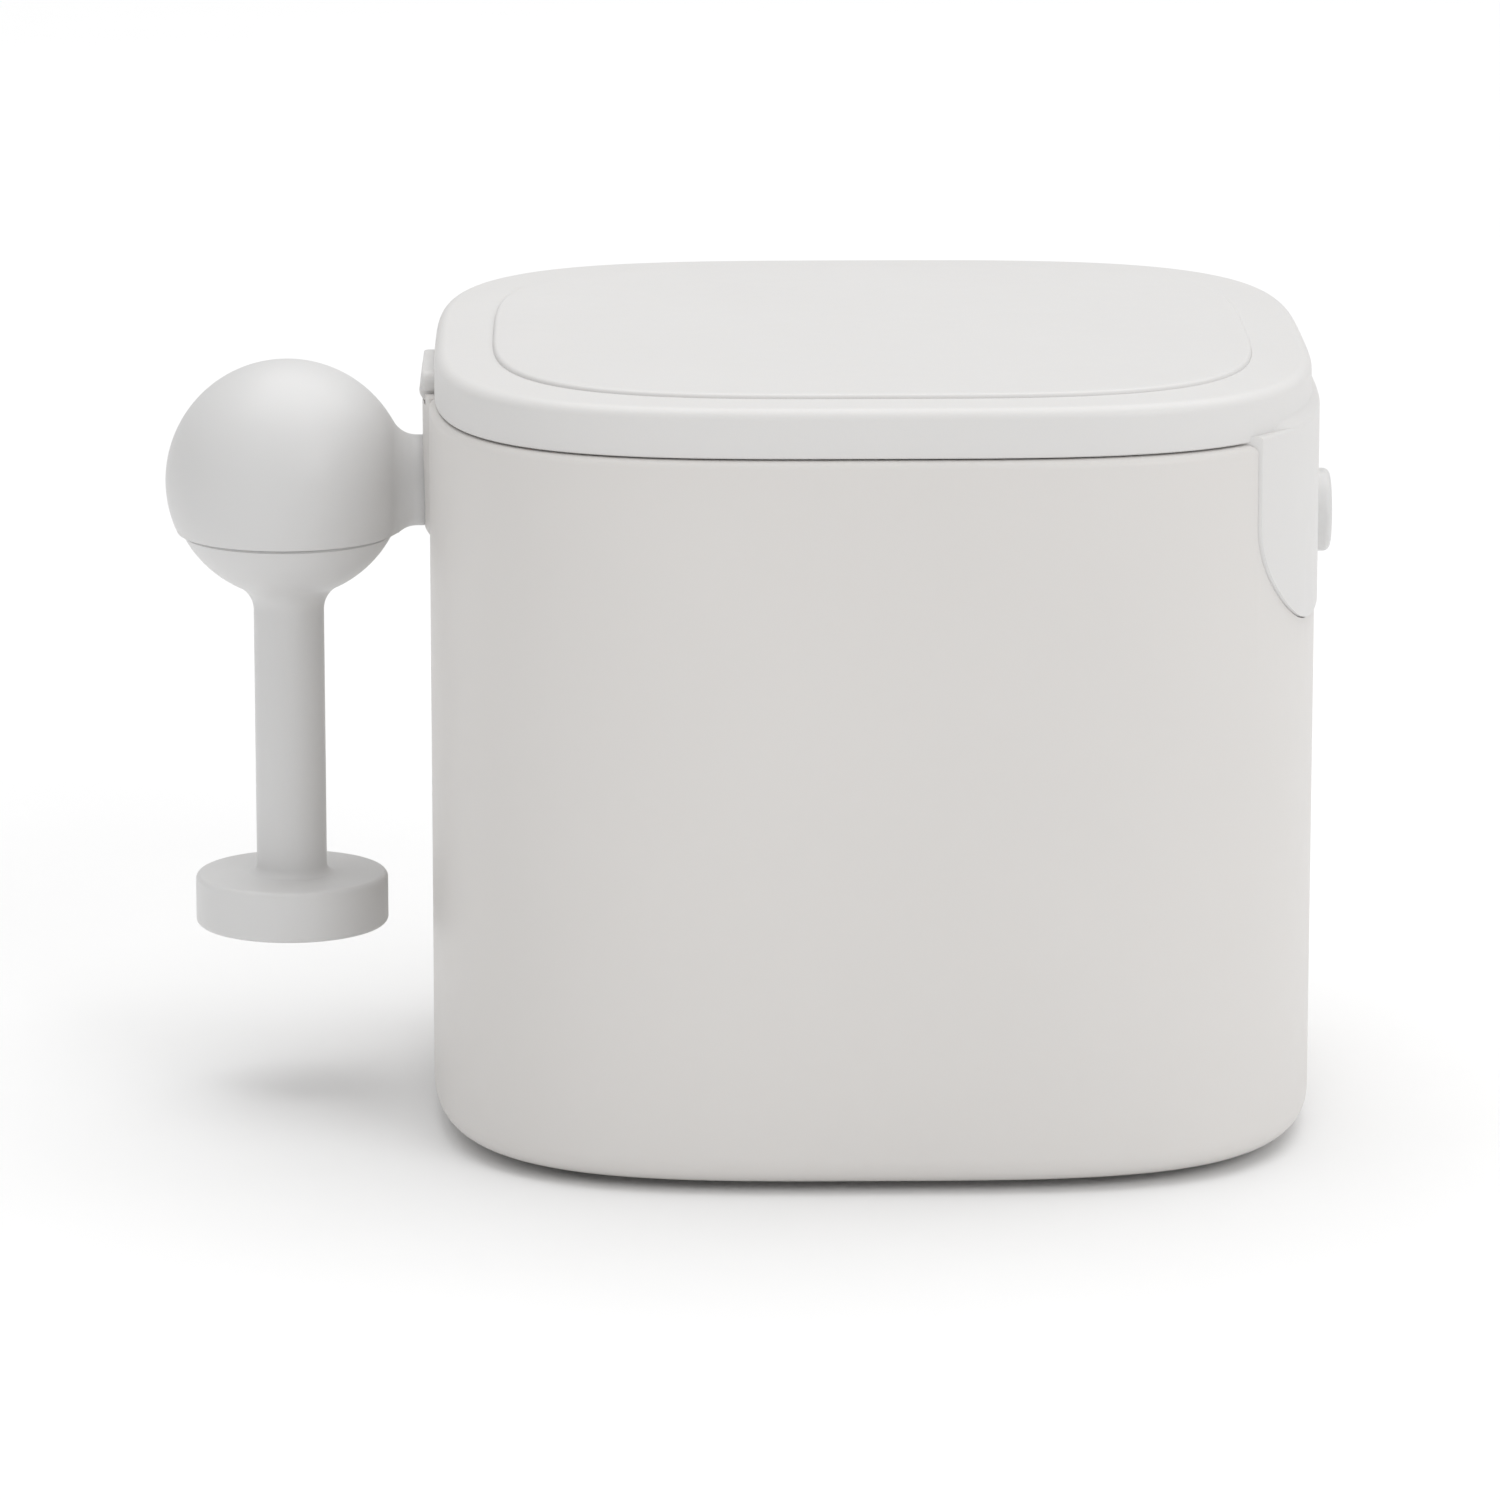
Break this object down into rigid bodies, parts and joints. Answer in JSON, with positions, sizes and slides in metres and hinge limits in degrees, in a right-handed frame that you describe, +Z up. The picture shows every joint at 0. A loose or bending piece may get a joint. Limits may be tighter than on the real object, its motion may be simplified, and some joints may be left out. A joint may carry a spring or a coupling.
{
  "type": "pill crusher",
  "caption": "Hand-cranked pill crusher: rounded-square casing with a hinged lid, ball-hub crank, latch button, and a toothed drum over a powder cup.",
  "frame": {"origin": "centre of the soft pad under the base, on the plane it stands on", "axes": "+Z up; +X from the crank side to the latch side; front at -Y"},
  "size_m": [0.1063, 0.08, 0.0709],
  "materials": {
    "casing_plastic": "satin moulded white",
    "lid_plastic": "satin moulded white",
    "crank_plastic": "satin moulded white",
    "inner_plastic": "satin moulded pale grey",
    "cup_plastic": "smooth translucent white",
    "pad_rubber": "matt grey",
    "seal_rubber": "matt silicone",
    "steel": "turned"
  },
  "bodies": {
    "casing": {"body_shell": "casing_plastic", "base_cover": "casing_plastic", "base_pad": "pad_rubber", "base_screw_1": "steel", "base_screw_2": "steel", "base_screw_3": "steel", "base_screw_4": "steel", "hinge_pin": "steel", "crusher_housing": "inner_plastic", "deck_screw_1": "steel", "deck_screw_2": "steel", "fixed_jaw": "steel", "jaw_screw_1": "steel", "jaw_screw_2": "steel", "outer_bush": "inner_plastic", "inner_bush": "inner_plastic", "powder_cup": "cup_plastic"},
    "crank": {"drive_shaft": "steel", "crush_drum": "steel", "drum_pin": "steel", "shaft_clip": "steel", "crank_hub": "crank_plastic", "hub_pin": "steel"},
    "arm": {"crank_arm": "crank_plastic", "arm_snap_ring": "steel"},
    "lid": {"lid_shell": "lid_plastic", "lid_panel": "lid_plastic", "lid_gasket": "seal_rubber", "button_retainer": "inner_plastic", "button_spring": "steel"},
    "button": {"latch_button": "crank_plastic"}
  },
  "joints": [
    {"name": "crank_spin", "type": "hinge", "parent": "casing", "child": "crank", "pos_m": [0, 0, 0.0568], "axis": [1, 0, 0], "continuous": true},
    {"name": "arm_swivel", "type": "hinge", "parent": "crank", "child": "arm", "pos_m": [-0.0531, 0, 0.0568], "axis": [0, 0, 1], "continuous": true},
    {"name": "lid_swing", "type": "hinge", "parent": "casing", "child": "lid", "pos_m": [-0.0396, 0, 0.0663], "axis": [0, -1, 0], "range_deg": [0, 80]},
    {"name": "button_press", "type": "slide", "parent": "lid", "child": "button", "axis": [-1, 0, 0], "range_m": [0, 0.0012], "stiffness_N_per_m": 500, "springref_m": -0.002, "deforming": ["button_spring"]}
  ]
}
